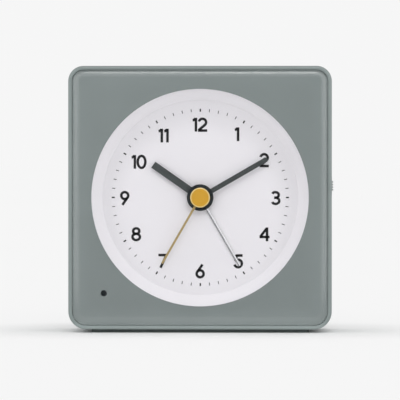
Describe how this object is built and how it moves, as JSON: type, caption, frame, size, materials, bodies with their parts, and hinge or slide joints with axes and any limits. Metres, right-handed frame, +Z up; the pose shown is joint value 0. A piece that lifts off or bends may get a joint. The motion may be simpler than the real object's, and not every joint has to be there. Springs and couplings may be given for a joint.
{
  "type": "table alarm clock",
  "caption": "Small square table alarm clock with a clear rolled-edge front, four hands, a snooze bar on top, a side switch, setting knobs and a battery door.",
  "frame": {"origin": "on the table under the middle of the clock", "axes": "+Z up, front towards -Y, +X to the right seen from the front"},
  "size_m": [0.0956, 0.042, 0.0962],
  "materials": {
    "sage_frame": "satin sage grey",
    "sage_case": "fine matt sage grey",
    "sage_face": "even sage grey paint",
    "clear_front": "polished clear plastic",
    "white_ring": "matt white",
    "white_dial": "printed matt white",
    "slate_hand": "satin slate grey",
    "silver_hand": "polished",
    "gold_hand": "satin mustard",
    "amber_cap": "glossy amber",
    "knob_plastic": "matt sage grey",
    "rubber": "matt dark grey",
    "white_moulding": "plain moulded",
    "dark_moulding": "plain moulded",
    "brass": "turned",
    "steel": "plain",
    "spring_steel": "nickel plated",
    "copper_wire": "enamelled copper",
    "board_green": "circuit board",
    "cell_jacket": "plain printed sleeve",
    "sensor_black": "dark clear resin",
    "magnet": "ground ferrite",
    "lamp_resin": "milky resin"
  },
  "bodies": {
    "case": {"front_frame": "sage_frame", "front_lens": "clear_front", "face_mask": "sage_face", "dial_ring": "white_ring", "dial": "white_dial", "light_sensor": "sensor_black", "dial_lamps": "lamp_resin", "rear_case": "sage_case", "case_screws": "steel", "rubber_feet": "rubber", "battery": "cell_jacket", "positive_contact": "spring_steel", "negative_contact": "spring_steel", "movement_front_plate": "white_moulding", "movement_middle_plate": "white_moulding", "train_bridge": "white_moulding", "movement_cover": "dark_moulding", "movement_screws": "steel", "stator": "steel", "coil_bobbin": "white_moulding", "coil_winding": "copper_wire", "movement_board": "board_green", "driver_chip": "dark_moulding", "quartz_crystal": "spring_steel", "hand_bush": "brass", "bush_nut": "brass", "snooze_switch": "dark_moulding", "circuit_board": "board_green", "speaker": "brass", "alarm_switch_base": "dark_moulding"},
    "alarm_group": {"alarm_hand": "silver_hand", "alarm_wheel": "white_moulding"},
    "hour_group": {"hour_hand": "slate_hand", "hour_wheel": "white_moulding"},
    "minute_group": {"minute_hand": "slate_hand", "cannon_pinion": "brass"},
    "seconds_group": {"seconds_hand": "gold_hand", "centre_cap": "amber_cap", "seconds_arbor": "steel", "seconds_wheel": "white_moulding"},
    "third_group": {"third_wheel": "white_moulding"},
    "centre_group": {"centre_wheel": "white_moulding"},
    "fifth_group": {"fifth_wheel": "white_moulding"},
    "rotor_group": {"rotor_pinion": "white_moulding", "rotor_magnet": "magnet"},
    "time_knob_group": {"time_set_knob": "knob_plastic", "motion_wheel": "white_moulding"},
    "alarm_knob_group": {"alarm_set_knob": "knob_plastic", "alarm_pinion": "white_moulding"},
    "snooze_group": {"snooze_bar": "sage_case"},
    "switch_group": {"alarm_switch": "knob_plastic"},
    "door_group": {"battery_door": "sage_case"}
  },
  "joints": [
    {"name": "seconds_turn", "type": "hinge", "parent": "case", "child": "seconds_group", "pos_m": [0, 0, 0.0487], "axis": [0, 1, 0], "continuous": true},
    {"name": "rotor_turn", "type": "hinge", "parent": "case", "child": "rotor_group", "pos_m": [0, 0, 0.0319], "axis": [0, 1, 0], "continuous": true},
    {"name": "fifth_turn", "type": "hinge", "parent": "case", "child": "fifth_group", "pos_m": [0, 0, 0.0403], "axis": [0, 1, 0], "continuous": true},
    {"name": "third_turn", "type": "hinge", "parent": "case", "child": "third_group", "pos_m": [0, 0, 0.0595], "axis": [0, 1, 0], "continuous": true},
    {"name": "centre_turn", "type": "hinge", "parent": "case", "child": "centre_group", "pos_m": [0, 0, 0.0487], "axis": [0, 1, 0], "continuous": true},
    {"name": "time_knob_turn", "type": "hinge", "parent": "case", "child": "time_knob_group", "pos_m": [0.012, 0, 0.0487], "axis": [0, 1, 0], "continuous": true},
    {"name": "minute_turn", "type": "hinge", "parent": "case", "child": "minute_group", "pos_m": [0, 0, 0.0487], "axis": [0, 1, 0], "continuous": true},
    {"name": "hour_turn", "type": "hinge", "parent": "case", "child": "hour_group", "pos_m": [0, 0, 0.0487], "axis": [0, 1, 0], "continuous": true},
    {"name": "alarm_knob_turn", "type": "hinge", "parent": "case", "child": "alarm_knob_group", "pos_m": [-0.012, 0, 0.0487], "axis": [0, 1, 0], "continuous": true},
    {"name": "alarm_turn", "type": "hinge", "parent": "case", "child": "alarm_group", "pos_m": [0, 0, 0.0487], "axis": [0, 1, 0], "continuous": true},
    {"name": "snooze_press", "type": "slide", "parent": "case", "child": "snooze_group", "axis": [0, 0, -1], "range_m": [0, 0.0008], "stiffness_N_per_m": 2000, "springref_m": -0.0005},
    {"name": "alarm_switch_slide", "type": "slide", "parent": "case", "child": "switch_group", "axis": [0, 0, -1], "range_m": [0, 0.004]},
    {"name": "battery_door_tilt", "type": "hinge", "parent": "case", "child": "door_group", "pos_m": [0, 0.0164, 0.0061], "axis": [-1, 0, 0], "range_deg": [0, 70]}
  ],
  "couplings": [
    {"joint": "rotor_turn", "follows": "seconds_turn", "ratio": 30},
    {"joint": "fifth_turn", "follows": "seconds_turn", "ratio": -5},
    {"joint": "third_turn", "follows": "seconds_turn", "ratio": -0.13333},
    {"joint": "centre_turn", "follows": "seconds_turn", "ratio": 0.016667},
    {"joint": "minute_turn", "follows": "time_knob_turn", "ratio": -3},
    {"joint": "hour_turn", "follows": "time_knob_turn", "ratio": -0.25},
    {"joint": "alarm_turn", "follows": "alarm_knob_turn", "ratio": -0.33333}
  ]
}
